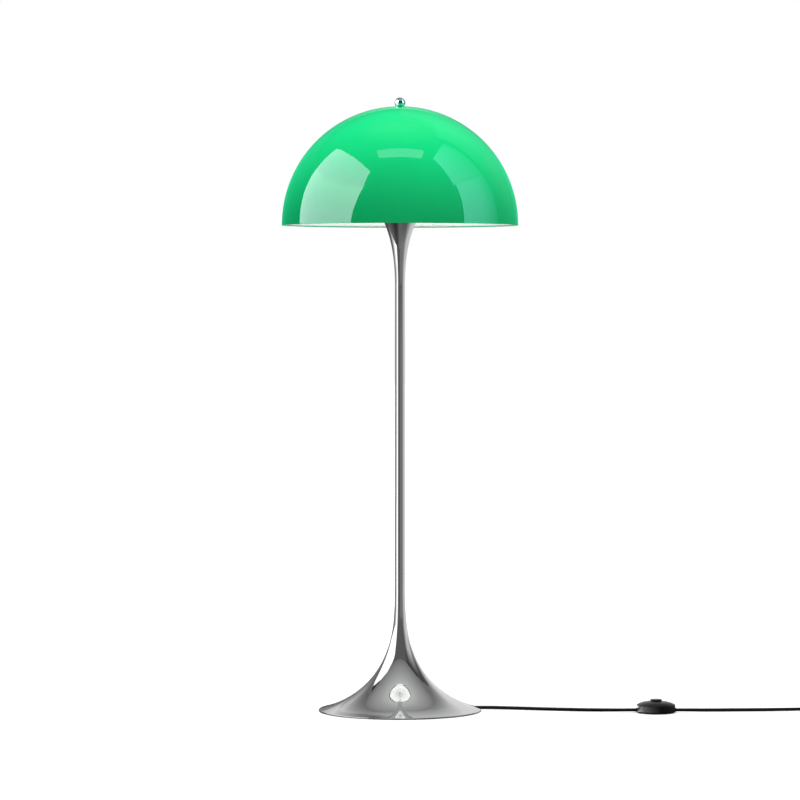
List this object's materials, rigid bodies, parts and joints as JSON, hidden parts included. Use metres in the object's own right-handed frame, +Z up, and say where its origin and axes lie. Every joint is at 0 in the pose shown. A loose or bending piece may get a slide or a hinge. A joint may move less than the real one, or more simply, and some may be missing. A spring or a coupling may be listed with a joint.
{
  "type": "mushroom floor lamp",
  "caption": "Floor lamp with a hemispherical shade, ball nut, slim chromed stem, trumpet foot, round foot switch and a coiled mains cord with a flat plug.",
  "frame": {"origin": "on the floor at the centre of the foot's underside", "axes": "+Z up along the stem, +X towards the foot switch, -Y the side that the picture shows"},
  "size_m": [1.2545, 0.5, 1.2993],
  "materials": {
    "chrome": "polished chrome plate",
    "green_shell": "high gloss",
    "white_liner": "satin opal",
    "white_plastic": "satin moulded",
    "porcelain": "glazed",
    "black_plastic": "fine moulded texture",
    "cord_black": "satin sheath",
    "rubber": "matte",
    "tie_black": "woven strap",
    "steel": "zinc plated",
    "cast_iron": "rough cast, painted",
    "brass": "plain",
    "nickel": "nickel plated",
    "solder": "dull solder",
    "black_glass": "vitreous",
    "opal_glass": "opal, satin",
    "felt": "pressed felt"
  },
  "bodies": {
    "stand": {"foot_shell": "chrome", "foot_felt": "felt", "foot_plate": "steel", "foot_weight": "cast_iron", "foot_plate_screws": "steel", "foot_washer": "steel", "foot_nut": "steel", "cord_grommet": "rubber", "cord_clip": "black_plastic", "cord_clip_screws": "steel", "inner_cord": "cord_black", "stem_tube": "chrome", "stem_bush_lower": "black_plastic", "stem_bush_upper": "black_plastic", "tie_rod": "steel", "top_flare": "chrome", "carrier_plate": "steel", "carrier_hub": "steel", "carrier_arms": "steel", "carrier_stud": "steel", "shade_seat": "rubber", "holder_nut": "steel", "holder_cap": "white_plastic", "holder_core": "porcelain", "holder_thread": "brass", "holder_sleeve": "white_plastic", "holder_contact": "brass", "switch_base": "black_plastic", "switch_screws": "steel", "switch_cover": "black_plastic", "switch_contacts": "black_plastic", "switch_spring": "steel", "switch_glands": "rubber", "switch_feet": "rubber", "cord_lead": "cord_black", "cord_tail": "cord_black", "cord_end": "cord_black", "cord_coil": "cord_black", "cord_tie": "tie_black", "plug_body": "black_plastic", "plug_relief": "rubber", "plug_sleeves": "black_plastic", "plug_pins": "nickel"},
    "shade": {"shade_shell": "green_shell", "shade_liner": "white_liner", "shade_washer": "rubber"},
    "finial": {"finial_ball": "chrome"},
    "bulb": {"bulb_contact": "solder", "bulb_insulator": "black_glass", "bulb_cap": "nickel", "bulb_globe": "opal_glass"},
    "button": {"switch_button": "black_plastic"}
  },
  "joints": [
    {"name": "shade_lift", "type": "slide", "parent": "stand", "child": "shade", "axis": [0, 0, 1], "range_m": [0, 0.28]},
    {"name": "finial_turn", "type": "hinge", "parent": "shade", "child": "finial", "pos_m": [0, 0, 1.288], "axis": [0, 0, 1], "continuous": true},
    {"name": "bulb_turn", "type": "hinge", "parent": "stand", "child": "bulb", "pos_m": [0, 0, 1.176], "axis": [0, 0, 1], "continuous": true},
    {"name": "switch_press", "type": "slide", "parent": "stand", "child": "button", "axis": [0, 0, -1], "range_m": [0, 0.003], "stiffness_N_per_m": 1500, "springref_m": -0.003, "deforming": ["switch_spring"]}
  ]
}
